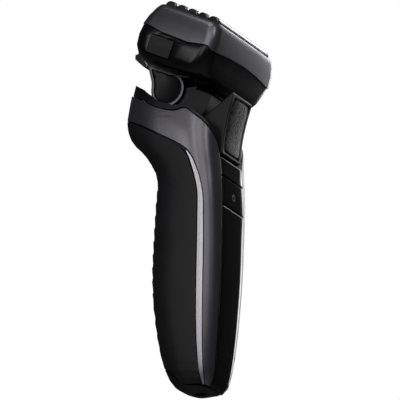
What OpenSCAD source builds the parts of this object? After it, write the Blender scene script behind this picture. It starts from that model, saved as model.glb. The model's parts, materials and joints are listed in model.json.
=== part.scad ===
// Cordless foil shaver with five floating foils, a tilting head and a rear pop-up trimmer.
// +Z runs up the handle from the charging socket, -Y is the front (thumb rest, button, display),
// +Y is the rear (rubber grip), and the object is symmetric about X = 0. Millimetres.

/* [Handle] */
// Thickness of the outer covers
skin_wall = 2.1; // [1.6:0.1:2.3]
// Thickness of the inner chassis wall
chassis_wall = 1.8; // [1.2:0.1:2.2]
// Depth of the chassis' outer face below the covers' outer face
chassis_depth = 2.6; // [2.5:0.05:2.7]
// Bore radius of the charging socket
socket_bore = 2.4; // [2.0:0.05:2.6]
// Depth of the charging socket
socket_depth = 8; // [6:0.5:10]

/* [Neck] */
// Forward tilt of the shaving head against the handle
head_pitch = 26; // [20:1:30]
// Height of the head's seam above the base
head_height = 147.9; // [147:0.1:149]
// Radius of the neck arm's round foot
drum_radius = 7.5; // [7:0.1:8]
// Outer half width of the neck arm
arm_half_width = 12.4; // [11.5:0.1:12.6]
// Radius of the neck axle
axle_radius = 1.5; // [1.2:0.1:1.8]
// Rearward lean of the trimmer's slide
trimmer_lean = 20; // [16:1:24]

/* [Shaving head] */
// Half width of the head at its seam
head_half_width = 30.4; // [29:0.1:32]
// Half depth of the head at its seam
head_half_depth = 18.9; // [18.5:0.1:20]
// Height of the foil frame
frame_height = 10.9; // [10:0.1:11.2]
// Distance between neighbouring foils
foil_pitch = 5.4; // [5.3:0.05:5.5]
// Outer radius of each foil's arch
foil_radius = 2.5; // [2.3:0.05:2.55]
// Half length of each foil
foil_half_length = 23.6; // [22:0.1:23.8]
// Radius of each drive pin
drive_pin = 1.0; // [0.8:0.05:1.2]

/* [Hidden] */
$fn = 48;

gunmetal = [0.36, 0.37, 0.40];
black = [0.07, 0.07, 0.08];
silver = [0.72, 0.73, 0.76];
steel = [0.80, 0.81, 0.83];
rubber = [0.13, 0.13, 0.14];
copper = [0.72, 0.42, 0.22];
board_green = [0.10, 0.35, 0.18];

// Tilted rings up the handle: rear y, rear z, front y, front z, half width
STATIONS = [
    [4.0, 0, -4.0, 0, 5.6],
    [10.1, 3.2, -8.7, 2.2, 10.5],
    [14.3, 11, -10.9, 9.5, 13.2],
    [17.9, 27, -12.7, 24, 15.5],
    [19.6, 48, -14.2, 42.5, 16.9],
    [18.8, 66, -14.9, 57, 17.7],
    [17.5, 83, -15.1, 69, 18.3],
    [16.7, 94, -15.2, 77, 18.9],
    [21.7, 104, -15.2, 84, 19.6],
    [28.3, 111.5, -15.0, 90, 20.3],
    [30.5, 118.8, -14.6, 95.5, 21.0],
    [29.7, 125, -14.3, 101.5, 21.2],
    [28.6, 130.5, -14.2, 107, 21.0],
    [27.0, 136.5, -14.1, 113, 20.6]];
front_power = 4.2;   // squareness of the front half of a ring
rear_power = 2.5;    // squareness of the rear half

// Edges on the handle's left side as [angle from the front, ring number]
BAND_FRONT = [[-21, 0.7], [-21, 2.5], [-20, 4.5], [-18, 6.5], [-15, 8.6], [-14, 10.2],
    [-20, 11.4], [-38, 12.2], [-55, 12.55], [-68, 12.7], [-80, 12.85], [-87, 12.4],
    [-92, 12.05], [-105, 12.0], [-125, 12.1], [-150, 12.2], [-180, 12.2]];
BAND_REAR = [[-57, 0.75], [-63.5, 2.5], [-64.5, 4.5], [-65.5, 6.5], [-66.5, 8.0], [-68.5, 9.0],
    [-71, 9.45], [-75, 9.8], [-81, 9.98], [-86, 10.07], [-91, 10.15], [-96, 10.2],
    [-102, 10.24], [-112, 10.28], [-130, 10.3], [-152, 10.3], [-180, 10.3]];
TRIM_FRONT = [[-58.5, 0.8], [-63, 1.6], [-65, 2.5], [-65.7, 4.5], [-66.7, 6.5], [-67.7, 8.0],
    [-69.7, 8.95], [-72.5, 9.42], [-77, 9.78]];
TRIM_REAR = [[-63, 0.75], [-72.5, 1.4], [-76, 2.3], [-76.5, 4.5], [-76.5, 6.5], [-75.7, 7.9],
    [-75.2, 8.75], [-75.6, 9.25], [-78, 9.68]];
GRIP_TOP = [[76, 8.55], [77.5, 9.3], [80, 9.7], [85, 9.88], [90, 9.98], [98, 10.1], [116, 10.2],
    [147, 10.22], [180, 10.22]];
GRIP_SIDE = [[0, 66], [1.3, 73.5], [2.3, 77.4], [4.5, 77.8], [6.5, 77.8], [8, 77.2], [9.3, 77.5], [11, 80]];
RIM_LOW = [[-18, 11.15], [-21.5, 11.7], [-37.5, 12.27], [-54.5, 12.62], [-68, 12.77], [-80.5, 12.92],
    [-87.5, 12.46], [-92, 12.11], [-105, 12.06], [-125, 12.16], [-150, 12.26], [-180, 12.26]];
RIM_TOP = [[-17, 11.35], [-20.5, 12.0], [-35.5, 12.55], [-53.5, 12.87], [-67, 12.98], [-79.5, 13.1],
    [-86.7, 12.85], [-92, 12.55], [-105, 12.55], [-125, 12.8], [-150, 13.0], [-180, 13.0]];
CHASSIS_TOP = [[0, 10.1], [14, 10.1], [20, 11.2], [38, 12.05], [55, 12.4], [68, 12.55], [80, 12.7],
    [87, 12.25], [92, 11.9], [105, 11.85], [125, 11.95], [150, 12.05], [180, 12.05]];
CAP_TOP = [[0, 0.5], [60, 0.5], [76, 0.6], [100, 0.8], [125, 1.6], [150, 1.95], [180, 2.0]];
PANEL_SIDE = [[0.5, 19.6], [4.5, 18.8], [6.5, 16.9], [8.6, 13.8], [9.6, 12.9], [10.8, 12.2]];

head_centre = [0, -2.8, head_height];
neck_pivot = [0, 9.5, 131.2];
pivot_in_head = [0, (neck_pivot[1] - head_centre[1]) * cos(head_pitch)
    + (neck_pivot[2] - head_centre[2]) * sin(head_pitch),
    (neck_pivot[2] - head_centre[2]) * cos(head_pitch)
    - (neck_pivot[1] - head_centre[1]) * sin(head_pitch)];
bulk_ring = 10.55;
gap = 0.3;

// ---- curves ----
function blend(a, b, f) = a + (b - a) * f;
function power(v, e) = sign(v) * pow(abs(v), e);
function knot(list, k) = k < 0 ? 2 * list[0] - list[1]
    : k >= len(list) ? 2 * list[len(list) - 1] - list[len(list) - 2] : list[k];
// Smooth curve through a list of knots, t counted in knots
function along(list, t) = let (k = min(max(floor(t), 0), len(list) - 2), f = t - k,
    a = knot(list, k - 1), b = list[k], c = list[k + 1], d = knot(list, k + 2))
    0.5 * (2 * b + (c - a) * f + (2 * a - 5 * b + 4 * c - d) * f * f
    + (3 * b - a - 3 * c + d) * f * f * f);
// Left edge, then the same edge mirrored back down the right side
function both_sides(list) = concat(list,
    [for (k = [len(list) - 2:-1:0]) [-360 - list[k][0], list[k][1]]]);
// Point on the handle: angle from the front, ring number, depth below the outer face
function skin(angle, ring, depth = 0) = let (s = along(STATIONS, ring),
    e = 2 / (cos(angle) > 0 ? front_power : rear_power),
    across = power(sin(angle), e), back = -power(cos(angle), e),
    half = norm([s[0] - s[2], s[1] - s[3]]) / 2, keep = back * (half - depth) / half)
    [across * (s[4] - depth), (s[0] + s[2]) / 2 + keep * (s[0] - s[2]) / 2,
    (s[1] + s[3]) / 2 + keep * (s[1] - s[3]) / 2];
// Ring of the head's plan: half width, front y, rear y, height, front and rear corner radius
function plan_ring(size) = let (w = size[0] - 0.3, f = size[1] - 0.3, b = size[2] - 0.3,
    p = size[4], q = size[5], corners = [[w - p, p - f, p, -90], [w - q, b - q, q, 0],
    [q - w, b - q, q, 90], [p - w, p - f, p, 180]])
    [for (k = [0:3]) let (c = corners[k], d = corners[(k + 1) % 4],
        last = [c[0] + c[2] * cos(c[3] + 90), c[1] + c[2] * sin(c[3] + 90)],
        next = [d[0] + d[2] * cos(d[3]), d[1] + d[2] * sin(d[3])])
        each concat([for (j = [0:10]) let (a = c[3] + 9 * j)
        [c[0] + c[2] * cos(a), c[1] + c[2] * sin(a), size[3]]],
        [for (j = [1:3]) let (m = blend(last, next, j / 4), out = 0.3 * (1 - pow(j / 2 - 1, 2)))
        [m[0] + out * cos(c[3] + 90), m[1] + out * sin(c[3] + 90), size[3]]])];
function head_y(index) = (index - 3) * foil_pitch;

// ---- closed solids from grids of points ----
// Slab between an outer and an inner grid of points, closed round its edge
module slab(outer, inner) {
    rows = len(outer);
    cols = len(outer[0]);
    points = concat([for (r = outer) for (p = r) p], [for (r = inner) for (p = r) p]);
    turn = cross(outer[1][0] - outer[0][0], outer[0][1] - outer[0][0])
        * (outer[0][0] - inner[0][0]) > 0;
    low = rows * cols;
    rim = concat([for (i = [0:rows - 1]) i * cols],
        [for (j = [1:cols - 1]) (rows - 1) * cols + j],
        [for (i = [rows - 2:-1:0]) i * cols + cols - 1], [for (j = [cols - 2:-1:1]) j]);
    skins = [for (i = [0:rows - 2]) for (j = [0:cols - 2]) let (a = i * cols + j,
        b = a + cols, c = b + 1, d = a + 1)
        each [[a, c, b], [a, d, c], [a + low, b + low, c + low], [a + low, c + low, d + low]]];
    edges = [for (k = [0:len(rim) - 1]) let (a = rim[k], b = rim[(k + 1) % len(rim)])
        each [[a, b, b + low], [a, b + low, a + low]]];
    faces = concat(skins, edges);
    polyhedron(points, turn ? faces : [for (f = faces) [f[0], f[2], f[1]]], convexity = 8);
}
// Solid through a stack of rings; ring ends are closed, or joined to each other for a tube
module stack(rings, tube = false) {
    n = len(rings[0]);
    m = len(rings);
    points = [for (r = rings) for (p = r) p];
    sides = [for (i = [0:(tube ? m - 1 : m - 2)]) for (k = [0:n - 1])
        let (a = i * n + k, b = i * n + (k + 1) % n, c = ((i + 1) % m) * n + (k + 1) % n,
        d = ((i + 1) % m) * n + k) each [[a, c, b], [a, d, c]]];
    ends = tube ? [] : [[for (k = [0:n - 1]) k], [for (k = [n - 1:-1:0]) (m - 1) * n + k]];
    polyhedron(points, concat(sides, ends), convexity = 8);
}
// Cover piece between two edges on the handle
module ribbon(edge_a, edge_b, steps, across, top = 0, base = skin_wall) {
    last = len(edge_a) - 1;
    grid = [for (i = [0:steps]) let (a = along(edge_a, last * i / steps),
        b = along(edge_b, last * i / steps)) [for (j = [0:across]) blend(a, b, j / across)]];
    slab([for (r = grid) [for (q = r) skin(q[0], q[1], top)]],
        [for (r = grid) [for (q = r) skin(q[0], q[1], base)]]);
}
// Front cover piece between two rings, as wide as the panel's opening
module front_piece(ring_a, ring_b, steps, top = 0, base = skin_wall, across = 8, narrow = 0) {
    grid = [for (i = [0:steps]) let (t = blend(ring_a, ring_b, i / steps),
        side = lookup(t, PANEL_SIDE) - narrow) [for (j = [0:across]) [blend(-side, side, j / across), t]]];
    slab([for (r = grid) [for (q = r) skin(q[0], q[1], top)]],
        [for (r = grid) [for (q = r) skin(q[0], q[1], base)]]);
}
module rounded_plate(half_x, half_y, corner) {
    for (x = [-1, 1], y = [-1, 1]) translate([x * (half_x - corner), y * (half_y - corner)])
        circle(corner);
    square([2 * half_x, 2 * (half_y - corner)], center = true);
    square([2 * (half_x - corner), 2 * half_y], center = true);
}
module rounded_block(half_x, half_y, corner, low, high) {
    translate([0, 0, low]) linear_extrude(high - low) rounded_plate(half_x, half_y, corner);
}
module block(low, high) translate(low) cube(high - low);
// Cylinder along X between two places at a height and depth
module rod_x(radius, from, to, y = 0, z = 0) {
    translate([from, y, z]) rotate([0, 90, 0]) cylinder(h = to - from, r = radius);
}
module rod_y(radius, from, to, x = 0, z = 0) {
    translate([x, from, z]) rotate([-90, 0, 0]) cylinder(h = to - from, r = radius);
}
// Profile in Y and Z, extruded along X
module side_profile(from, to) {
    translate([from, 0, 0]) rotate([90, 0, 90]) linear_extrude(to - from) children();
}
module at_head() translate(head_centre) rotate([head_pitch, 0, 0]) children();
module at_pivot() translate(neck_pivot) children();
module at_slide() translate(neck_pivot) rotate([-trimmer_lean, 0, 0]) children();
// Frame on top of the bulkhead, square to its ring
module at_bulkhead() {
    s = along(STATIONS, bulk_ring);
    translate([0, (s[0] + s[2]) / 2, (s[1] + s[3]) / 2])
        rotate([atan((s[1] - s[3]) / (s[0] - s[2])), 0, 0]) children();
}

// ---- handle ----
module chassis() {
    steps = 48;
    levels = 20;
    function level(f, depth) = [for (k = [0:steps - 1]) let (a = 360 * k / steps,
        top = lookup(a > 180 ? 360 - a : a, CHASSIS_TOP)) skin(a, blend(1, top, f), depth)];
    color(black) difference() {
        stack(concat([for (i = [0:levels]) level(i / levels, chassis_depth)],
            [for (i = [levels:-1:0]) level(i / levels, chassis_depth + chassis_wall)]), tube = true);
        block([-2.6, -20, 80.5], [2.6, -6, 87.5]);
    }
}
module bowl_rim() {
    color(black) ribbon(both_sides(RIM_LOW), both_sides(RIM_TOP), 64, 2, 0.5, chassis_depth + chassis_wall);
}
module bulkhead() {
    color(black) stack([for (t = [10.2, bulk_ring])
        [for (k = [0:39]) skin(9 * k, t, chassis_depth + chassis_wall + 0.15)]]);
}
module side_band() {
    color(gunmetal) ribbon(both_sides(BAND_FRONT), both_sides(BAND_REAR), 96, 8);
}
module trim(side) {
    color(silver) mirror([side > 0 ? 1 : 0, 0, 0]) ribbon(TRIM_FRONT, TRIM_REAR, 36, 2, -0.15);
}
module trim_left() trim(-1);
module trim_right() trim(1);
module rear_grip() {
    cols = 34;
    rows = 22;
    function top_ring(a) = lookup(a, GRIP_TOP);
    function low_ring(a) = max(0.85, lookup(a, CAP_TOP) + 0.07);
    function place(i, j) = let (f = -1 + 2 * j / cols, row = i / rows,
        near = lookup(blend(0.85, 8.9, row), GRIP_SIDE), a = blend(180, near, abs(f)))
        [f > 0 ? a : 360 - a, blend(low_ring(a), top_ring(a), row)];
    grid = [for (i = [0:rows]) [for (j = [0:cols]) place(i, j)]];
    color(rubber) slab([for (r = grid) [for (q = r) skin(q[0], q[1], 0)]],
        [for (r = grid) [for (q = r) skin(q[0], q[1], skin_wall)]]);
}
module base_cap() {
    steps = 40;
    function level(low, f, depth) = [for (k = [0:steps - 1]) let (a = 360 * k / steps)
        skin(a, blend(low, lookup(a > 180 ? 360 - a : a, CAP_TOP), f), depth)];
    color(black) difference() {
        stack([for (p = [[0, 0, 0], [0, 0.25, 0], [0, 0.5, 0], [0, 0.75, 0], [0, 1, 0],
            [0.45, 1, skin_wall], [0.45, 0.75, skin_wall], [0.45, 0.5, skin_wall],
            [0.45, 0.25, skin_wall], [0.45, 0, skin_wall]]) level(p[0], p[1], p[2])]);
        translate([0, 0, -1]) cylinder(h = 20, r = 3.4);
    }
}
module charge_socket() {
    color(black) difference() {
        cylinder(h = socket_depth + 2, r = 3.38);
        translate([0, 0, -1]) cylinder(h = socket_depth + 1, r = socket_bore);
        translate([0, 0, socket_depth - 1]) cylinder(h = 4, r = 1.6);
    }
}
module charge_contact() {
    color(steel) translate([0, 0, socket_depth]) cylinder(h = 3.5, r = 1.58);
}
module display_panel() color([0.03, 0.03, 0.04]) front_piece(0.62, 7.05, 30);
module upper_panel() color([0.03, 0.03, 0.04]) front_piece(9.18, 10.5, 8);
module power_button() {
    color([0.05, 0.05, 0.06]) front_piece(7.2, 9.02, 8, 0, 1.6, 8, 0.5);
    color(black) block([-1.5, -13.8, 82.5], [1.5, -8.2, 85.5]);
}
// Front face of the thumb housing, leaning forward towards its top
function thumb_y(z) = -14.3 - 5.8 * pow((z - 100) / 27, 1.8);
module thumb_housing() {
    color(gunmetal) difference() {
        side_profile(-9.3, 9.3) polygon(concat([for (z = [100.6:2.3:126]) [thumb_y(z), z]],
            [[-19.0, 127.1], [-12.7, 122.5], [-5.8, 117.4], [-5.6, 114.5], [-11.2, 103],
            [-11.6, 100.6]]));
        side_profile(-7.1, 7.1) polygon(concat([for (z = [101.9:2.3:124.9]) [thumb_y(z) + 1.3, z]],
            [[-25, 124.9], [-25, 101.9]]));
    }
}
module thumb_pad() {
    color([0.2, 0.2, 0.21]) side_profile(-6.8, 6.8) polygon(concat(
        [for (z = [102.2:2.24:124.6]) [thumb_y(z) - 0.3, z]],
        [for (z = [124.6:-2.24:102.2]) [thumb_y(z) + 1.25, z]]));
}
module battery() {
    color([0.25, 0.45, 0.7]) translate([0, 5.2, 33]) cylinder(h = 50, r = 7);
    color(steel) translate([0, 5.2, 83]) cylinder(h = 1.5, r = 2.5);
}
module circuit_board() {
    color(board_green) block([-8, -5.6, 30], [8, -4.2, 92]);
    color(black) block([-5, -4.2, 86], [5, -2.6, 92]);
}
module display_light() color([0.9, 0.9, 0.85]) block([-5, -8.2, 42], [5, -5.65, 72]);
module button_switch() color(steel) block([-3, -7.3, 81], [3, -5.65, 87]);
module neck_bracket() {
    s = along(STATIONS, bulk_ring);
    tilt = atan((s[1] - s[3]) / (s[0] - s[2]));
    rise = [neck_pivot[1] - (s[0] + s[2]) / 2, neck_pivot[2] - (s[1] + s[3]) / 2];
    pivot = [rise[0] * cos(tilt) + rise[1] * sin(tilt), rise[1] * cos(tilt) - rise[0] * sin(tilt)];
    color([0.12, 0.12, 0.13]) at_bulkhead() difference() {
        union() {
            rounded_block(13, 13, 3, 0.1, 2.3);
            for (side = [-1, 1]) {
                side_profile(side * 7 - 1.4, side * 7 + 1.4) polygon([[-1, 2], [12.9, 2],
                    [pivot[0] + 4.1, pivot[1]], [pivot[0] - 4.1, pivot[1]]]);
                rod_x(4.2, side * 7 - 1.4, side * 7 + 1.4, pivot[0], pivot[1]);
            }
        }
        rod_x(axle_radius + 0.05, -10, 10, pivot[0], pivot[1]);
        for (x = [-10.5, 10.5], y = [-10.5, 10.5]) translate([x, y, -1]) cylinder(h = 5, r = 1.1);
    }
}
module neck_screws() {
    color(steel) at_bulkhead() for (x = [-10.5, 10.5], y = [-10.5, 10.5]) translate([x, y, 0.15]) {
        cylinder(h = 2.2, r = 1.08);
        translate([0, 0, 2.18]) difference() {
            cylinder(h = 1.3, r = 2);
            translate([0, 0, 0.6]) cylinder(h = 1, r = 0.9, $fn = 6);
        }
    }
}

// ---- neck arm and trimmer ----
// Outline of the neck arm's cheek, its round foot and the ear that carries the trimmer
module cheek_outline() {
    circle(drum_radius);
    polygon([[-7.2, 1.9], [-4.5, 5.5], [0, 8], [4.5, 10], [9.2, 12.2], [8.2, 8], [7.3, 4], [7.4, 1]]);
}
module neck_arm() {
    color([0.16, 0.16, 0.18]) difference() {
        union() {
            at_pivot() for (side = [-1, 1]) side_profile(side > 0 ? 8.8 : -arm_half_width,
                side > 0 ? arm_half_width : -8.8) cheek_outline();
            at_head() block([-9, -6.5, -15.9], [9, 8.5, -13.5]);
        }
        at_pivot() rod_x(axle_radius, -10, 10);
        at_head() translate([0, 0, -20]) cylinder(h = 10, r = 2.55);
        at_pivot() for (side = [-1, 1]) intersection() {
            side_profile(side > 0 ? 10 : -14, side > 0 ? 14 : -10) offset(r = -1.2) cheek_outline();
            translate([side * (arm_half_width + 21.5), 1, 2.8]) scale([1, 1, 1.3]) sphere(r = 23, $fn = 64);
        }
    }
}
// Cover in front of the hinge, round the tilt axis so that it never meets the thumb housing
module neck_cowl() {
    color(black) difference() {
        at_pivot() difference() {
            side_profile(-10.6, 10.6) sector(19.8);
            side_profile(-8.8, 8.8) sector(18.2, 3);
            rod_x(drum_radius + 0.15, -12, 12);
        }
        at_head() block([-15, -30, -16.1], [15, -7.9, 0]);
        at_head() block([-15, -8, -13.6], [15, 20, 0]);
        at_head() block([-9.2, -6.9, -16.3], [9.2, 10, 0]);
    }
}
// Sector in front of and below the tilt axis, widened by some degrees
module sector(radius, wider = 0) {
    polygon(concat([[0, 0]], [for (k = [0:18]) let (a = blend(-wider, 63 + wider, k / 18))
        [-radius * cos(a), -radius * sin(a)]]));
}
module neck_axle() color(steel) at_pivot() rod_x(axle_radius, -10, 10);
module trimmer_slide() {
    color(black) at_slide() {
        side_profile(-8.3, 8.3) polygon([[3.2, 5.6], [5.1, 5.6], [5.1, 12.6], [6.4, 15.4],
            [6.4, 17], [5.5, 17], [3.2, 14]]);
        side_profile(-11.4, 11.4) polygon([[5.5, 14.2], [7.1, 15.4], [9.2, 20], [8.5, 21.6], [5.5, 21.6]]);
        for (k = [0:3]) side_profile(-5, 5) polygon([[5.05, 6.2 + 1.6 * k], [6.1, 6.6 + 1.6 * k],
            [6.1, 7.0 + 1.6 * k], [5.05, 7.4 + 1.6 * k]]);
    }
}
module comb_teeth(half_x, count, height) {
    for (k = [0:count - 1]) let (x = blend(-half_x, half_x, (k + 0.5) / count), w = half_x / count)
        polygon([[x - 0.62 * w, -0.1], [x + 0.62 * w, -0.1], [x + 0.3 * w, height], [x - 0.3 * w, height]]);
}
module trimmer_comb() {
    color(steel) at_slide() translate([0, 6.5, 21.65]) rotate([90, 0, 0]) linear_extrude(0.6) {
        translate([-11, 0]) square([22, 0.7]);
        translate([0, 0.7]) comb_teeth(11, 19, 1.1);
    }
}
module trimmer_blade() {
    color(silver) at_slide() translate([0, 7.4, 21.7]) rotate([90, 0, 0]) linear_extrude(0.6) {
        translate([-10, 0]) square([20, 0.5]);
        translate([0, 0.5]) comb_teeth(10, 14, 1.0);
    }
}

// ---- head mounting ----
module swivel_rocker() {
    color([0.2, 0.2, 0.22]) at_head() difference() {
        union() {
            translate([0, 0, -13.2]) cylinder(h = 1.0, r = 6);
            translate([0, 0, -16.1]) cylinder(h = 3, r = 2.5);
            for (side = [-1, 1]) let (y = side * 4.3) {
                block([-2.4, y - 0.95, -12.4], [2.4, y + 0.95, -9.5]);
                rod_y(2.4, y - 0.95, y + 0.95, 0, -9.5);
            }
        }
        rod_y(1.25, -8, 8, 0, -9.5);
    }
}
module swivel_clip() {
    color(steel) at_head() translate([0, 0, -17.1]) cylinder(h = 0.98, r = 3.8);
}
module head_body() {
    w = head_half_width;
    d = head_half_depth;
    color(black) at_head() difference() {
        union() {
            difference() {
                stack([for (s = [[w - 7, 14.4, 14.6, -14, 9, 7], [w - 3.2, 16.8, 16.8, -12.7, 10, 8],
                    [w - 1.5, 17.8, 18, -11, 9, 7], [w - 0.8, 18.3, 18.9, -8.8, 8, 6],
                    [w - 0.5, d - 0.3, d + 0.5, -4.2, 6.5, 5.3], [w - 0.4, d - 0.3, d + 0.1, -0.15, 5.4, 5]])
                    plan_ring(s)]);
                block([-15.6, -9.5, -15], [15.6, 25, -11.2]);
                side_profile(-15.6, 15.6) polygon([[15, -11.4], [19.4, -7], [25, -7], [25, -15],
                    [15, -15]]);
                block([-8, -6, -12], [8, 6, -7]);
            }
            rod_y(2.3, -3.1, 3.1, 0, -9.5);
            block([-2.3, -3.1, -9.5], [2.3, 3.1, -6]);
            rounded_block(24.8, 13.6, 2, -2, 2.2);
        }
        rounded_block(23.5, 12.6, 1.5, -5, 5);
        rod_y(1.22, -6, 6, 0, -9.5);
        for (side = [-1, 1]) block([side * 29 - 3.6, -0.9, -11.1], [side * 29 + 3.6, 10.9, -2.7]);
    }
}
module roll_pin() color(steel) at_head() rod_y(1.2, -5.3, 5.3, 0, -9.5);
module release_button(side) {
    color(black) at_head() mirror([side > 0 ? 1 : 0, 0, 0]) difference() {
        side_slab();
        rod_x(1.9, -28.8, -27, 5, -6.9);
    }
}
// Button's block, its face flush with the head's side
module side_slab() {
    translate([0, 10.5, 0]) rotate([90, 0, 0]) linear_extrude(11)
        polygon([[-27.2, -10.7], [-29.3, -10.7], [-29.9, -7], [-30.1, -3.1], [-27.2, -3.1]]);
}
module release_left() release_button(-1);
module release_right() release_button(1);
// Round wire wound along X
module wire_spring(from, to, radius, wire, turns) {
    steps = 12 * turns;
    stack([for (i = [0:steps]) let (a = 360 * turns * i / steps)
        [for (k = [0:5]) let (r = radius + wire * cos(60 * k))
        [blend(from, to, i / steps) - wire * sin(60 * k), r * cos(a), r * sin(a)]]]);
}
module release_springs() {
    color(steel) at_head() for (side = [-1, 1]) mirror([side > 0 ? 1 : 0, 0, 0])
        translate([0, 5, -6.9]) wire_spring(-27.3, -25.7, 1.4, 0.18, 2);
}
module motor_core() {
    color([0.45, 0.45, 0.48]) at_head() {
        block([-19, -8, -4.9], [19, 8, -3.9]);
        for (x = [-17, 0, 17]) block([x - (x == 0 ? 4 : 2), -6, -3.95], [x + (x == 0 ? 4 : 2), 6, -1.4]);
    }
}
module motor_coil() {
    color(copper) at_head() difference() {
        rounded_block(9.5, 10.5, 3, -3.8, -1.5);
        block([-4.3, -6.3, -5], [4.3, 6.3, 0]);
    }
}
module drive_seal() {
    color(rubber) at_head() difference() {
        rounded_block(23.3, 12.4, 1.4, 0.95, 1.5);
        for (k = [1:5]) let (x = k % 2 == 1 ? -8 : 8) translate([x, head_y(k), 0])
            rounded_block(drive_pin + 1.6, drive_pin + 0.35, 1, 0, 3);
    }
}
module drive(side) {
    color([0.5, 0.5, 0.54]) at_head() {
        block([side > 0 ? 1.7 : -19, -12, -0.95], [side > 0 ? 19 : -1.7, 12, 0.45]);
        for (k = side > 0 ? [2, 4] : [1, 3, 5]) translate([side * 8, head_y(k), 0.4])
            cylinder(h = 4.8, r = drive_pin);
    }
}
module drive_left() drive(-1);
module drive_right() drive(1);

// ---- cutters ----
arch_centre = frame_height + 0.2;   // height of the foils' arch centres above the seam
module arch(outer, inner, low, half) {
    rotate([90, 0, 90]) translate([0, 0, -half]) linear_extrude(2 * half) difference() {
        union() {
            translate([0, arch_centre]) circle(outer);
            translate([-outer, low]) square([2 * outer, arch_centre - low]);
        }
        translate([0, arch_centre]) circle(inner);
        translate([-inner, low - 1]) square([2 * inner, arch_centre - low + 1]);
    }
}
module blade(index) {
    socket_x = index % 2 == 1 ? -8 : 8;
    color(silver) at_head() translate([0, head_y(index), 0]) difference() {
        union() {
            arch(foil_radius - 0.4, foil_radius - 1.1, 7, 21.5);
            block([-21.5, 0.4 - foil_radius, 5.6], [21.5, foil_radius - 0.4, 7.1]);
            translate([socket_x, 0, 3.7]) cylinder(h = 2, r = 1.9);
        }
        translate([socket_x, 0, 3]) cylinder(h = 3.6, r = drive_pin + 0.05);
    }
}
module foil(index) {
    color(steel) at_head() translate([0, head_y(index), 0])
        arch(foil_radius, foil_radius - 0.3, 7, foil_half_length);
}
module foil_holder() {
    color(black) at_head() difference() {
        union() {
            rounded_block(26, 14.4, 2.8, 3.2, frame_height - 0.6);
            for (k = [1:5], side = [-1, 1]) rod_x(foil_radius - 0.2, side * 24.8 - 0.7, side * 24.8 + 0.7,
                head_y(k), frame_height + 0.1);
        }
        block([-24, -13.7, 0], [24, 13.7, 20]);
    }
}
module foil_frame() {
    w = head_half_width;
    d = head_half_depth;
    h = frame_height;
    color(gunmetal) at_head() difference() {
        stack([for (s = [[w, d, d + 0.3, 0.15, 5, 5], [w - 0.1, d - 0.8, d - 0.7, 0.38 * h, 5, 5],
            [w - 0.9, d - 2.1, d - 2.2, 0.77 * h, 5, 5], [w - 1.8, d - 2.9, d - 3.0, 0.94 * h, 5, 5],
            [w - 2.8, d - 3.5, d - 3.5, h, 4.6, 4.6]]) plan_ring(s)]);
        rounded_block(26.2, 14.6, 3, -1, h + 2);
    }
}
module blade_1() blade(1);
module blade_2() blade(2);
module blade_3() blade(3);
module blade_4() blade(4);
module blade_5() blade(5);
module foil_1() foil(1);
module foil_2() foil(2);
module foil_3() foil(3);
module foil_4() foil(4);
module foil_5() foil(5);

chassis();
bowl_rim();
bulkhead();
side_band();
trim_left();
trim_right();
rear_grip();
base_cap();
charge_socket();
charge_contact();
display_panel();
upper_panel();
power_button();
thumb_housing();
thumb_pad();
battery();
circuit_board();
display_light();
button_switch();
neck_bracket();
neck_screws();
neck_arm();
neck_cowl();
neck_axle();
trimmer_slide();
trimmer_comb();
trimmer_blade();
swivel_rocker();
swivel_clip();
head_body();
roll_pin();
release_left();
release_right();
release_springs();
motor_core();
motor_coil();
drive_seal();
drive_left();
drive_right();
blade_1();
blade_2();
blade_3();
blade_4();
blade_5();
foil_frame();
foil_holder();
foil_1();
foil_2();
foil_3();
foil_4();
foil_5();
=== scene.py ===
"""Cordless foil shaver: the looks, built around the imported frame. Metres, in the frame of the part."""
import json
import math

import bmesh
import bpy
from mathutils import Matrix, Vector


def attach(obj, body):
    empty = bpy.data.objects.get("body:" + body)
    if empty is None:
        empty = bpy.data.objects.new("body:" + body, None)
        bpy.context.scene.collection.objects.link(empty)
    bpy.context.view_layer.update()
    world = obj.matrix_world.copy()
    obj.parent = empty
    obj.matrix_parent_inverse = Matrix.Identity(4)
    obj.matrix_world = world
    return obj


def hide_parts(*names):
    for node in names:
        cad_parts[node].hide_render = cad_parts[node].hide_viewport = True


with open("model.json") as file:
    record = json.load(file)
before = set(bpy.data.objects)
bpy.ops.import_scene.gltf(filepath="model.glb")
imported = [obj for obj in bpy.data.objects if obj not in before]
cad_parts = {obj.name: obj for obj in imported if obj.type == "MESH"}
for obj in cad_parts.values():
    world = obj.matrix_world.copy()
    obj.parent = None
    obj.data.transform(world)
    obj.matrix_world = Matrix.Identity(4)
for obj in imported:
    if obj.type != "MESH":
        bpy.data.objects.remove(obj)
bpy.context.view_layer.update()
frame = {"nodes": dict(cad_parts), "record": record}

MM = 0.001

# The head's own frame: its middle at the seam, pitched forward
HEAD_FRAME = Matrix.Translation(Vector((0, -2.8, 147.9)) * MM) @ Matrix.Rotation(math.radians(26), 4, "X")
CHEEK_FACE = 12.4 * MM    # from the middle to the outer face of the neck arm's cheeks


# ---- camera and light ----

VIEW_AZIMUTH = math.radians(-65)
VIEW_ELEVATION = math.radians(-18)
VIEW_DISTANCE = 4.0
VIEW_HEIGHT = 0.1667    # metres that the picture spans


def viewing_axes():
    """Right, up and backward directions of the camera."""
    ca, sa = math.cos(VIEW_AZIMUTH), math.sin(VIEW_AZIMUTH)
    ce, se = math.cos(VIEW_ELEVATION), math.sin(VIEW_ELEVATION)
    right = Vector((ca, sa, 0))
    up = Vector((-sa * se, ca * se, ce))
    return right, up, right.cross(up)


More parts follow.
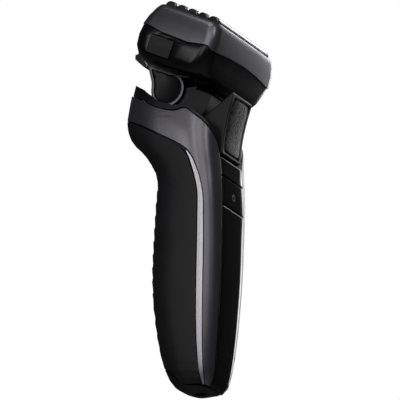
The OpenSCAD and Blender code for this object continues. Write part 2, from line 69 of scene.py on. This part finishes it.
def add_camera():
    """Camera with the shaver's full height in the picture."""
    right, up, back = viewing_axes()
    middle = back.dot(Vector((0, 0, 0.08)))
    target = right * -0.0002 + up * 0.0806 + back * middle
    data = bpy.data.cameras.new("camera")
    data.sensor_width = 36
    data.lens = 36 * VIEW_DISTANCE / VIEW_HEIGHT
    data.clip_end = 50
    camera = bpy.data.objects.new("camera", data)
    camera.matrix_world = Matrix.Translation(target + back * VIEW_DISTANCE) @ Matrix(
        (right, up, back)).transposed().to_4x4()
    bpy.context.scene.collection.objects.link(camera)
    bpy.context.scene.camera = camera


def add_softbox(name, direction, width, height, brightness):
    """Area light, its sides in metres, 1.2 m from the shaver's middle in a direction."""
    data = bpy.data.lights.new(name, "AREA")
    data.shape = "RECTANGLE"
    data.size = width
    data.size_y = height
    data.energy = brightness * math.pi * width * height
    light = bpy.data.objects.new(name, data)
    toward = Vector(direction).normalized()
    turn = toward.to_track_quat("Z", "Y").to_matrix().to_4x4()
    light.matrix_world = Matrix.Translation(Vector((0, 0, 0.09)) + toward * 1.2) @ turn
    bpy.context.scene.collection.objects.link(light)


add_camera()


# ---- helpers ----

def linear(hex_colour):
    """Linear RGBA of an sRGB hex colour."""
    channels = [int(hex_colour[k:k + 2], 16) / 255 for k in (1, 3, 5)]
    return [c / 12.92 if c <= 0.04045 else ((c + 0.055) / 1.055) ** 2.4 for c in channels] + [1.0]


def add_node(tree, kind, settings=None, **inputs):
    """Adds a shader node: settings are its properties, inputs are values or the sockets that feed it."""
    new = tree.nodes.new(kind)
    for name, value in (settings or {}).items():
        setattr(new, name, value)
    for name, value in inputs.items():
        socket = new.inputs[int(name[1:]) if name[1:].isdigit() else name.replace("_", " ")]
        if isinstance(value, bpy.types.NodeSocket):
            tree.links.new(value, socket)
        else:
            socket.default_value = value
    return new


def start_material(name):
    """A material, its empty tree, and the object's own coordinates in millimetres."""
    material = bpy.data.materials.new(name)
    material.use_nodes = True
    tree = material.node_tree
    tree.nodes.clear()
    place = add_node(tree, "ShaderNodeTexCoord")
    in_mm = add_node(tree, "ShaderNodeMapping", Vector=place.outputs["Object"], Scale=(1000, 1000, 1000))
    return material, tree, in_mm.outputs["Vector"]


def finish_material(tree, shader):
    add_node(tree, "ShaderNodeOutputMaterial", Surface=shader.outputs["BSDF"])


def two_tones(tree, factor, dark, light, low=0.35, high=0.65):
    """Colour that runs from one tone to another as a pattern's value rises."""
    ramp = add_node(tree, "ShaderNodeValToRGB", Fac=factor)
    ramp.color_ramp.elements[0].position = low
    ramp.color_ramp.elements[1].position = high
    ramp.color_ramp.elements[0].color = linear(dark)
    ramp.color_ramp.elements[1].color = linear(light)
    return ramp.outputs["Color"]


def spread(tree, factor, low, high):
    """A pattern's value brought into a range."""
    span = add_node(tree, "ShaderNodeMapRange", Value=factor)
    span.inputs["To Min"].default_value = low
    span.inputs["To Max"].default_value = high
    return span.outputs["Result"]


# ---- materials ----

def satin_metallic_lacquer():
    """ABS sprayed with a dark metallic lacquer: fine flakes, a soft broad highlight under a thin clear coat."""
    material, tree, place = start_material("satin_metallic_lacquer")
    flake_size = 0.25    # mm, drawn coarser than real 0.05 mm flakes so that they show
    flakes = add_node(tree, "ShaderNodeTexNoise", Vector=place, Scale=1 / flake_size, Detail=2.0)
    drift = add_node(tree, "ShaderNodeTexNoise", Vector=place, Scale=0.05, Detail=1.0)
    bump = add_node(tree, "ShaderNodeBump", Height=flakes.outputs["Fac"], Strength=0.04, Distance=0.05 * MM)
    shader = add_node(tree, "ShaderNodeBsdfPrincipled",
        Base_Color=two_tones(tree, flakes.outputs["Fac"], "#77757b", "#838187"),
        Metallic=0.85, Roughness=spread(tree, drift.outputs["Fac"], 0.31, 0.37),
        Normal=bump.outputs["Normal"], Coat_Weight=0.25, Coat_Roughness=0.12)
    finish_material(tree, shader)
    return material


def gloss_black_abs():
    """Piano-black moulded ABS: very dark, mirror gloss, with the faint waviness of a moulded skin."""
    material, tree, place = start_material("gloss_black_abs")
    waves = add_node(tree, "ShaderNodeTexNoise", Vector=place, Scale=0.12, Detail=1.0)
    dust = add_node(tree, "ShaderNodeTexNoise", Vector=place, Scale=3.0, Detail=3.0)
    bump = add_node(tree, "ShaderNodeBump", Height=waves.outputs["Fac"], Strength=0.15, Distance=0.05 * MM)
    shader = add_node(tree, "ShaderNodeBsdfPrincipled",
        Base_Color=two_tones(tree, waves.outputs["Fac"], "#09080b", "#0d0c10"),
        Roughness=spread(tree, dust.outputs["Fac"], 0.06, 0.12), Normal=bump.outputs["Normal"], IOR=1.5)
    finish_material(tree, shader)
    return material


def semi_gloss_black_abs():
    """Black ABS with a lightly polished skin: dark with soft-edged reflections."""
    material, tree, place = start_material("semi_gloss_black_abs")
    waves = add_node(tree, "ShaderNodeTexNoise", Vector=place, Scale=0.2, Detail=2.0)
    grain = add_node(tree, "ShaderNodeTexNoise", Vector=place, Scale=5.0, Detail=2.0)
    bump = add_node(tree, "ShaderNodeBump", Height=grain.outputs["Fac"], Strength=0.06, Distance=0.03 * MM)
    shader = add_node(tree, "ShaderNodeBsdfPrincipled",
        Base_Color=two_tones(tree, waves.outputs["Fac"], "#0b0a0d", "#100f12"),
        Roughness=spread(tree, waves.outputs["Fac"], 0.2, 0.27), Normal=bump.outputs["Normal"], IOR=1.5)
    finish_material(tree, shader)
    return material


def satin_black_abs():
    """Moulded black ABS with a fine spark-eroded texture: dark with a soft sheen."""
    material, tree, place = start_material("satin_black_abs")
    grain = add_node(tree, "ShaderNodeTexNoise", Vector=place, Scale=2.5, Detail=3.0)
    bump = add_node(tree, "ShaderNodeBump", Height=grain.outputs["Fac"], Strength=0.25, Distance=0.04 * MM)
    shader = add_node(tree, "ShaderNodeBsdfPrincipled",
        Base_Color=two_tones(tree, grain.outputs["Fac"], "#121114", "#1b1a1d"),
        Roughness=spread(tree, grain.outputs["Fac"], 0.34, 0.46), Normal=bump.outputs["Normal"], IOR=1.5)
    finish_material(tree, shader)
    return material


def grip_elastomer():
    """Over-moulded thermoplastic elastomer: matte charcoal with a soft grazing sheen and a very fine skin."""
    material, tree, place = start_material("grip_elastomer")
    skin = add_node(tree, "ShaderNodeTexNoise", Vector=place, Scale=4.0, Detail=4.0)
    drift = add_node(tree, "ShaderNodeTexNoise", Vector=place, Scale=0.08, Detail=2.0)
    bump = add_node(tree, "ShaderNodeBump", Height=skin.outputs["Fac"], Strength=0.35, Distance=0.05 * MM)
    shader = add_node(tree, "ShaderNodeBsdfPrincipled",
        Base_Color=two_tones(tree, drift.outputs["Fac"], "#1e1c20", "#242226"),
        Roughness=spread(tree, skin.outputs["Fac"], 0.46, 0.58), Normal=bump.outputs["Normal"], IOR=1.5)
    finish_material(tree, shader)
    return material


def pebbled_abs():
    """ABS moulded with a pebble leather grain, about 0.9 mm from pebble to pebble."""
    material, tree, place = start_material("pebbled_abs")
    pebbles = add_node(tree, "ShaderNodeTexVoronoi", Vector=place, Scale=1 / 0.9)
    bump = add_node(tree, "ShaderNodeBump", Height=pebbles.outputs["Distance"], Strength=0.9, Distance=0.16 * MM)
    bump.invert = True
    # Base colour is painted shade: pale on the pebble tops and darker in the creases between pebbles, following the
    # bump.
    shader = add_node(tree, "ShaderNodeBsdfPrincipled",
        Base_Color=two_tones(tree, pebbles.outputs["Distance"], "#4a4a4c", "#28282a", 0.2, 0.75),
        Roughness=spread(tree, pebbles.outputs["Distance"], 0.38, 0.6), Normal=bump.outputs["Normal"], IOR=1.5)
    finish_material(tree, shader)
    return material


def silver_lacquer():
    """ABS strip with a bright silver metallic lacquer: pale, with a satin highlight."""
    material, tree, place = start_material("silver_lacquer")
    flakes = add_node(tree, "ShaderNodeTexNoise", Vector=place, Scale=4.0, Detail=2.0)
    bump = add_node(tree, "ShaderNodeBump", Height=flakes.outputs["Fac"], Strength=0.04, Distance=0.05 * MM)
    shader = add_node(tree, "ShaderNodeBsdfPrincipled",
        Base_Color=two_tones(tree, flakes.outputs["Fac"], "#c9c7cd", "#dad8de"),
        Metallic=0.8, Roughness=spread(tree, flakes.outputs["Fac"], 0.28, 0.36), Normal=bump.outputs["Normal"])
    finish_material(tree, shader)
    return material


def brushed_steel():
    """Ground stainless steel: fine lines along X from the grinding."""
    material, tree, place = start_material("brushed_steel")
    along_x = add_node(tree, "ShaderNodeMapping", Vector=place, Scale=(0.1, 6.0, 6.0))
    lines = add_node(tree, "ShaderNodeTexNoise", Vector=along_x.outputs["Vector"], Scale=1.0, Detail=3.0)
    bump = add_node(tree, "ShaderNodeBump", Height=lines.outputs["Fac"], Strength=0.2, Distance=0.03 * MM)
    shader = add_node(tree, "ShaderNodeBsdfPrincipled",
        Base_Color=two_tones(tree, lines.outputs["Fac"], "#a9a9ac", "#c9c9cc"),
        Metallic=1.0, Roughness=spread(tree, lines.outputs["Fac"], 0.22, 0.36), Normal=bump.outputs["Normal"])
    finish_material(tree, shader)
    return material


def perforated_foil():
    """Electroformed nickel foil: rows of fine holes, painted dark as painted shade of the head's inside where the
    cutter shows through.
    """
    material, tree, place = start_material("perforated_foil")
    hole_pitch = 0.7    # mm, drawn coarser than the real 0.4 mm so that the holes show
    holes = add_node(tree, "ShaderNodeTexVoronoi", {"feature": "F1"}, Vector=place, Scale=1 / hole_pitch,
        Randomness=0.25)
    bump = add_node(tree, "ShaderNodeBump", Height=holes.outputs["Distance"], Strength=0.5, Distance=0.06 * MM)
    # The hole colour is painted shade: near-black where the shaded inside of the head would be seen through the
    # foil.
    shader = add_node(tree, "ShaderNodeBsdfPrincipled",
        Base_Color=two_tones(tree, holes.outputs["Distance"], "#1c1c1e", "#c3c4c8", 0.22, 0.34),
        Metallic=1.0, Roughness=spread(tree, holes.outputs["Distance"], 0.3, 0.2), Normal=bump.outputs["Normal"])
    finish_material(tree, shader)
    return material


def seal_silicone():
    """Soft black silicone: matte with a faint bloom."""
    material, tree, place = start_material("seal_silicone")
    bloom = add_node(tree, "ShaderNodeTexNoise", Vector=place, Scale=0.6, Detail=4.0)
    shader = add_node(tree, "ShaderNodeBsdfPrincipled",
        Base_Color=two_tones(tree, bloom.outputs["Fac"], "#17171a", "#232327"),
        Roughness=spread(tree, bloom.outputs["Fac"], 0.5, 0.7), IOR=1.42)
    finish_material(tree, shader)
    return material


def sintered_ferrite():
    """Pressed and sintered ferrite: dark grey with a dry grain."""
    material, tree, place = start_material("sintered_ferrite")
    grain = add_node(tree, "ShaderNodeTexNoise", Vector=place, Scale=3.0, Detail=5.0)
    bump = add_node(tree, "ShaderNodeBump", Height=grain.outputs["Fac"], Strength=0.4, Distance=0.06 * MM)
    shader = add_node(tree, "ShaderNodeBsdfPrincipled",
        Base_Color=two_tones(tree, grain.outputs["Fac"], "#37373a", "#525256"),
        Metallic=0.4, Roughness=spread(tree, grain.outputs["Fac"], 0.5, 0.7), Normal=bump.outputs["Normal"])
    finish_material(tree, shader)
    return material


def enamelled_copper():
    """Enamelled copper wire, wound in even turns 0.4 mm apart."""
    material, tree, place = start_material("enamelled_copper")
    turns = add_node(tree, "ShaderNodeTexWave", {"bands_direction": "Y"}, Vector=place, Scale=0.4)
    bump = add_node(tree, "ShaderNodeBump", Height=turns.outputs["Fac"], Strength=0.6, Distance=0.1 * MM)
    # Base colour is painted highlight and shade: lighter on the crowns of the turns, darker in the grooves between
    # them.
    shader = add_node(tree, "ShaderNodeBsdfPrincipled",
        Base_Color=two_tones(tree, turns.outputs["Fac"], "#8a4a22", "#c9814a"),
        Metallic=1.0, Roughness=spread(tree, turns.outputs["Fac"], 0.25, 0.4), Normal=bump.outputs["Normal"])
    finish_material(tree, shader)
    return material


def solder_mask():
    """Green solder mask over copper tracks on a glass-epoxy board."""
    material, tree, place = start_material("solder_mask")
    tracks = add_node(tree, "ShaderNodeTexBrick", Vector=place, Scale=0.35)
    tracks.inputs["Color1"].default_value = linear("#1d5a33")
    tracks.inputs["Color2"].default_value = linear("#205f37")
    tracks.inputs["Mortar"].default_value = linear("#2f7a4a")
    shader = add_node(tree, "ShaderNodeBsdfPrincipled", Base_Color=tracks.outputs["Color"], Roughness=0.35)
    finish_material(tree, shader)
    return material


def cell_sleeve():
    """Heat-shrunk PVC sleeve on a lithium cell: smooth blue with slight puckers."""
    material, tree, place = start_material("cell_sleeve")
    pucker = add_node(tree, "ShaderNodeTexNoise", Vector=place, Scale=0.3, Detail=2.0)
    bump = add_node(tree, "ShaderNodeBump", Height=pucker.outputs["Fac"], Strength=0.3, Distance=0.1 * MM)
    shader = add_node(tree, "ShaderNodeBsdfPrincipled",
        Base_Color=two_tones(tree, pucker.outputs["Fac"], "#2b5c9a", "#346bb0"),
        Roughness=spread(tree, pucker.outputs["Fac"], 0.2, 0.32), Normal=bump.outputs["Normal"])
    finish_material(tree, shader)
    return material


def frosted_acrylic():
    """Frosted acrylic light guide: milky, evenly rough."""
    material, tree, place = start_material("frosted_acrylic")
    frost = add_node(tree, "ShaderNodeTexNoise", Vector=place, Scale=2.0, Detail=4.0)
    shader = add_node(tree, "ShaderNodeBsdfPrincipled",
        Base_Color=two_tones(tree, frost.outputs["Fac"], "#dcdedb", "#ebedea"),
        Roughness=spread(tree, frost.outputs["Fac"], 0.4, 0.6), IOR=1.49)
    finish_material(tree, shader)
    return material


def printed_ink():
    """Pale grey pad-printed ink, slightly uneven."""
    material, tree, place = start_material("printed_ink")
    patches = add_node(tree, "ShaderNodeTexNoise", Vector=place, Scale=3.0, Detail=2.0)
    shader = add_node(tree, "ShaderNodeBsdfPrincipled",
        Base_Color=two_tones(tree, patches.outputs["Fac"], "#6e6e72", "#7c7c80"), Roughness=0.45)
    finish_material(tree, shader)
    return material


def pale_sweep():
    """Matte pale paper for the floor."""
    material, tree, place = start_material("pale_sweep")
    fibre = add_node(tree, "ShaderNodeTexNoise", Vector=place, Scale=0.02, Detail=3.0)
    shader = add_node(tree, "ShaderNodeBsdfPrincipled",
        Base_Color=two_tones(tree, fibre.outputs["Fac"], "#f1f1f1", "#f5f5f5"), Roughness=0.9)
    finish_material(tree, shader)
    return material


LACQUER = satin_metallic_lacquer()
GLOSS_BLACK = gloss_black_abs()
SATIN_BLACK = satin_black_abs()
SEMI_GLOSS = semi_gloss_black_abs()
GRIP = grip_elastomer()
PEBBLED = pebbled_abs()
SILVER = silver_lacquer()
STEEL = brushed_steel()
FOIL = perforated_foil()
SILICONE = seal_silicone()
FERRITE = sintered_ferrite()
COPPER = enamelled_copper()
MASK = solder_mask()
SLEEVE = cell_sleeve()
ACRYLIC = frosted_acrylic()
PRINT = printed_ink()


# ---- making pieces ----

BODY_OF = {node: body for body, nodes in frame["record"]["behaviour"]["bodies"].items() for node in nodes}


def finish_piece(name, bm, materials, body, replaces=(), crease=math.radians(38)):
    """Turns a bmesh into a piece that rides on a body and stands for some CAD nodes."""
    mesh = bpy.data.meshes.new(name)
    bm.to_mesh(mesh)
    bm.free()
    mesh.polygons.foreach_set("use_smooth", [True] * len(mesh.polygons))
    mesh.set_sharp_from_angle(angle=crease)
    for material in materials:
        mesh.materials.append(material)
    piece = bpy.data.objects.new(name, mesh)
    bpy.context.scene.collection.objects.link(piece)
    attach(piece, body)
    if replaces:
        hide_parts(*replaces)
    return piece


def merged_copy(node_name):
    """A bmesh of a CAD node: corners merged, slivers dissolved and flat pairs of triangles joined."""
    bm = bmesh.new()
    bm.from_mesh(frame["nodes"][node_name].data)
    bmesh.ops.remove_doubles(bm, verts=bm.verts, dist=1e-6)
    bmesh.ops.dissolve_degenerate(bm, edges=bm.edges, dist=0.03 * MM)
    bmesh.ops.join_triangles(bm, faces=bm.faces, angle_face_threshold=math.radians(4),
        angle_shape_threshold=math.radians(60))
    for face in bm.faces:
        face.material_index = 0
    return bm


def add_bevel(piece, radius):
    """Rounds a piece's hard edges, by a radius in millimetres."""
    bevel = piece.modifiers.new("rounded_edges", "BEVEL")
    bevel.width = radius * MM
    bevel.segments = 3
    bevel.limit_method = "ANGLE"
    bevel.angle_limit = math.radians(50)
    bevel.harden_normals = True


def rounded_copy(node_name, material, radius):
    """A CAD node as it is, with its edges rounded."""
    piece = finish_piece(node_name + "_skin", merged_copy(node_name), [material], BODY_OF[node_name],
        [node_name])
    add_bevel(piece, radius)


# CAD nodes that are shown as they are
PLAIN_NODES = {
    "chassis": SATIN_BLACK, "bulkhead": SATIN_BLACK, "charge_socket": SATIN_BLACK, "charge_contact": STEEL,
    "battery": SLEEVE, "circuit_board": MASK, "display_light": ACRYLIC, "button_switch": STEEL,
    "neck_bracket": SATIN_BLACK, "neck_screws": STEEL, "neck_axle": STEEL, "swivel_rocker": SATIN_BLACK,
    "swivel_clip": STEEL, "roll_pin": STEEL, "release_springs": STEEL, "motor_core": FERRITE,
    "motor_coil": COPPER, "drive_seal": SILICONE, "drive_left": FERRITE, "drive_right": FERRITE,
    "trimmer_comb": STEEL, "trimmer_blade": STEEL}
for index in range(1, 6):
    PLAIN_NODES[f"blade_{index}"] = STEEL
    PLAIN_NODES[f"foil_{index}"] = FOIL
for node_name, material in PLAIN_NODES.items():
    mesh = frame["nodes"][node_name].data
    mesh.materials.clear()
    mesh.materials.append(material)

# CAD nodes that are shown with rounded edges: material and edge radius in millimetres
ROUNDED_NODES = {
    "bowl_rim": (SATIN_BLACK, 0.4), "side_band": (LACQUER, 0.35), "trim_left": (SILVER, 0.3),
    "trim_right": (SILVER, 0.3), "base_cap": (SATIN_BLACK, 0.3), "neck_cowl": (SATIN_BLACK, 0.4),
    "display_panel": (GLOSS_BLACK, 0.3), "upper_panel": (GLOSS_BLACK, 0.3), "power_button": (GLOSS_BLACK, 0.3),
    "thumb_housing": (SATIN_BLACK, 1.0), "trimmer_slide": (SATIN_BLACK, 0.2),
    "release_left": (SATIN_BLACK, 0.45), "release_right": (SATIN_BLACK, 0.45),
    "foil_holder": (SATIN_BLACK, 0.25)}
for node_name, (material, radius) in ROUNDED_NODES.items():
    rounded_copy(node_name, material, radius)


# ---- rear grip ----

RIB_PITCH = 5.7 * MM
RIB_DEPTH = 0.42 * MM
RIB_SLOPE = 0.56    # the ribs run up towards the rear


def rib_height(place):
    """Depth of the overlapping ribs moulded in the rear of the grip, fading out towards its sides."""
    phase = ((place.z - RIB_SLOPE * place.y) / RIB_PITCH) % 1.0
    scale_edge = min(phase / 0.82, (1.0 - phase) / 0.18)
    across = min(max((place.y - 0.0085) / 0.006, 0.0), 1.0)
    up = min(max((0.098 - place.z) / 0.012, 0.0), 1.0) * min(max((place.z - 0.016) / 0.008, 0.0), 1.0)
    return (1.0 - scale_edge) * RIB_DEPTH * across * across * (3 - 2 * across) * up


def build_rear_grip():
    """Rear grip, cut finely enough for its moulded ribs."""
    bm = merged_copy("rear_grip")
    outside = [f for f in bm.faces if len(f.verts) == 4]
    upright = {e for f in outside for e in f.edges
        if abs((e.verts[0].co - e.verts[1].co).normalized().z) > 0.7}
    bmesh.ops.subdivide_edges(bm, edges=list(upright), cuts=6, use_grid_fill=True)
    bm.normal_update()
    level = [e for e in bm.edges if abs((e.verts[0].co - e.verts[1].co).normalized().z) <= 0.7
        and e.calc_length() > 1.2 * MM and e.verts[0].co.y > 0.004]
    bmesh.ops.subdivide_edges(bm, edges=level, cuts=1, use_grid_fill=True)
    bm.normal_update()
    axis = Vector((0, 0.003, 0))
    moves = []
    for vert in bm.verts:
        out = Vector((vert.co.x, vert.co.y - axis.y, 0)).normalized()
        if vert.normal.dot(out) > 0.35:
            moves.append((vert, -vert.normal * rib_height(vert.co)))
    for vert, move in moves:
        vert.co += move
    finish_piece("rear_grip_skin", bm, [GRIP], "handle", ["rear_grip"],
        crease=math.radians(32))


# ---- shaving head ----

def seam_drop(place):
    """How far the seam under the foil frame dips below straight, for a place in the head's frame."""
    side = max(0.0, min(1.0, (abs(place.x) - 27.5 * MM) / (1.5 * MM)))
    beside_button = max(0.0, 1.0 - abs(place.y - 1.0 * MM) / (12.5 * MM))
    notch = max(0.0, min(1.0, (7.5 * MM - abs(place.y + 6.5 * MM)) / (2.5 * MM)))
    front = max(0.0, min(1.0, (-place.y - 16.0 * MM) / (1.5 * MM)))
    shoulder = max(0.0, min(1.0, (abs(place.x) - 11.5 * MM) / (4.0 * MM)))
    return (side * (1.2 * min(1.0, 2.2 * beside_button) + 0.5 * notch) + front * (1.7 * shoulder - 0.6)) * MM


def build_head_shell(node_name, material, radius, low, high):
    """Foil frame or head body, with the wavy seam between them."""
    bm = merged_copy(node_name)
    to_head = HEAD_FRAME.inverted()
    bmesh.ops.transform(bm, matrix=to_head, verts=bm.verts)
    rim = [v for v in bm.verts if low * MM < v.co.z < high * MM and max(abs(v.co.x) / 26.4, abs(v.co.y) / 14.7) > MM]
    for vert in rim:
        vert.co.z -= seam_drop(vert.co)
    bmesh.ops.transform(bm, matrix=HEAD_FRAME, verts=bm.verts)
    piece = finish_piece(node_name + "_skin", bm, [material], BODY_OF[node_name], [node_name])
    add_bevel(piece, radius)


def build_neck_arm():
    """Neck arm: a satin metal-look bevel runs round each cheek and its black dish."""
    bm = merged_copy("neck_arm")
    edges = [e for e in bm.edges if all(abs(abs(v.co.x) - CHEEK_FACE) < 0.03 * MM for v in e.verts)
        and len(e.link_faces) == 2 and e.calc_face_angle(0) > math.radians(15)]
    rounded = bmesh.ops.bevel(bm, geom=edges, offset=0.55 * MM, segments=4, profile=0.5, affect="EDGES",
        material=-1, clamp_overlap=True)
    for face in rounded["faces"]:
        face.material_index = 1
    for face in bm.faces:
        if all(abs(abs(v.co.x) - CHEEK_FACE) < 0.05 * MM for v in face.verts):
            face.material_index = 1
    finish_piece("neck_arm_skin", bm, [SATIN_BLACK, LACQUER], "neck", ["neck_arm"])


# ---- thumb rest and button ----

def thumb_front(z):
    """Front of the thumb housing at a height, in metres."""
    return (-14.3 - 5.8 * max((z / MM - 100) / 27, 0.0) ** 1.8) * MM


def build_thumb_pad():
    """Thumb pad: a grid laid on the housing's front and crowned, with rounded corners."""
    bm = bmesh.new()
    bmesh.ops.create_grid(bm, x_segments=16, y_segments=36, size=1)
    for vert in bm.verts:
        u, v = vert.co.x, vert.co.y
        x = 6.75 * MM * u * (1 - 0.16 * abs(v) ** 7)
        z = (113.4 + 11.1 * v * (1 - 0.045 * abs(u) ** 5)) * MM
        crown = 0.35 * MM * (1 - abs(u) ** 3) * (1 - abs(v) ** 8)
        vert.co = Vector((x, thumb_front(z) - 0.2 * MM - crown, z))
    if sum(f.normal.y for f in bm.faces) > 0:
        bmesh.ops.reverse_faces(bm, faces=bm.faces)
    piece = finish_piece("thumb_pad_skin", bm, [PEBBLED], "handle", ["thumb_pad"])
    thickness = piece.modifiers.new("pad_thickness", "SOLIDIFY")
    thickness.thickness = 1.2 * MM
    thickness.offset = -1
    add_bevel(piece, 0.3)


def build_power_symbol():
    """Ring and bar printed on the power button."""
    bm = bmesh.new()
    start = bmesh.ops.create_grid(bm, x_segments=1, y_segments=1, size=0.14 * MM)["verts"]
    bmesh.ops.translate(bm, verts=start, vec=(0, 1.25 * MM, 0))
    bmesh.ops.delete(bm, geom=[f for f in bm.faces], context="FACES_ONLY")
    upright = [e for e in bm.edges if abs(e.verts[0].co.x - e.verts[1].co.x) < 1e-7][:1]
    rest = [v for v in bm.verts if v not in upright[0].verts]
    bmesh.ops.delete(bm, geom=rest, context="VERTS")
    bmesh.ops.rotate(bm, verts=bm.verts, cent=(0, 0, 0), matrix=Matrix.Rotation(math.radians(35), 3, "Z"))
    bmesh.ops.spin(bm, geom=bm.verts[:] + bm.edges[:], cent=(0, 0, 0), axis=(0, 0, 1),
        angle=math.radians(290), steps=32)
    bar = bmesh.ops.create_grid(bm, x_segments=1, y_segments=3, size=1)["verts"]
    bmesh.ops.scale(bm, verts=bar, vec=(0.14 * MM, 0.65 * MM, 1))
    bmesh.ops.translate(bm, verts=bar, vec=(0, 1.05 * MM, 0))
    bmesh.ops.recalc_face_normals(bm, faces=bm.faces)
    if sum(f.normal.z for f in bm.faces) < 0:
        bmesh.ops.reverse_faces(bm, faces=bm.faces)
    corners = frame["nodes"]["power_button"].data.vertices
    front = min(v.co.y for v in corners if abs(v.co.x) < 3 * MM and 82 * MM < v.co.z < 87 * MM)
    place = Matrix.Translation((0, front - 0.03 * MM, 83.5 * MM)) @ Matrix.Rotation(math.radians(90), 4, "X")
    bmesh.ops.transform(bm, matrix=place, verts=bm.verts)
    piece = finish_piece("power_symbol", bm, [PRINT], "power_button")
    thickness = piece.modifiers.new("ink_thickness", "SOLIDIFY")
    thickness.thickness = 0.03 * MM
    thickness.offset = -1


build_rear_grip()
build_head_shell("foil_frame", LACQUER, 0.4, -1, 1.5)
build_head_shell("head_body", SEMI_GLOSS, 0.5, -2, 0.0)
build_neck_arm()
build_thumb_pad()
build_power_symbol()


# ---- surroundings ----

def add_floor():
    """Pale floor, far enough below to stay out of the picture."""
    bm = bmesh.new()
    bmesh.ops.create_grid(bm, x_segments=2, y_segments=2, size=6)
    bmesh.ops.translate(bm, verts=bm.verts, vec=(0, 0, -1.5))
    mesh = bpy.data.meshes.new("floor")
    bm.to_mesh(mesh)
    bm.free()
    mesh.materials.append(pale_sweep())
    floor = bpy.data.objects.new("floor", mesh)
    bpy.context.scene.collection.objects.link(floor)


def add_world():
    """White room as the camera sees it, and a dim even room for what it lights."""
    world = bpy.data.worlds.new("studio")
    bpy.context.scene.world = world
    world.use_nodes = True
    tree = world.node_tree
    tree.nodes.clear()
    path = add_node(tree, "ShaderNodeLightPath")
    seen = add_node(tree, "ShaderNodeBackground", Color=(1, 1, 1, 1), Strength=1.0)
    fill = add_node(tree, "ShaderNodeBackground", Color=(1, 1, 1, 1), Strength=0.03)
    mix = add_node(tree, "ShaderNodeMixShader", _0=path.outputs["Is Camera Ray"], _1=fill.outputs[0],
        _2=seen.outputs[0])
    add_node(tree, "ShaderNodeOutputWorld", Surface=mix.outputs[0])


add_floor()
add_world()
add_softbox("left_side", (-0.93, 0.29, 0.1), 0.3, 0.6, 2.0)
add_softbox("left_strip", (-0.975, -0.1, 0.22), 0.18, 1.1, 2.2)
add_softbox("front_left_fill", (-0.83, -0.5, 0.34), 0.6, 0.6, 1.1)
add_softbox("front_high", (-0.39, -0.8, 0.48), 0.25, 0.4, 3.0)
add_softbox("right_side", (0.96, -0.14, 0.32), 0.3, 0.8, 4.6)
add_softbox("right_high", (0.66, -0.38, 0.65), 0.3, 0.3, 3.0)
add_softbox("overhead", (-0.45, -0.2, 0.87), 0.6, 0.6, 1.5)

view = bpy.context.scene.view_settings
view.view_transform = "Standard"
view.look = "None"
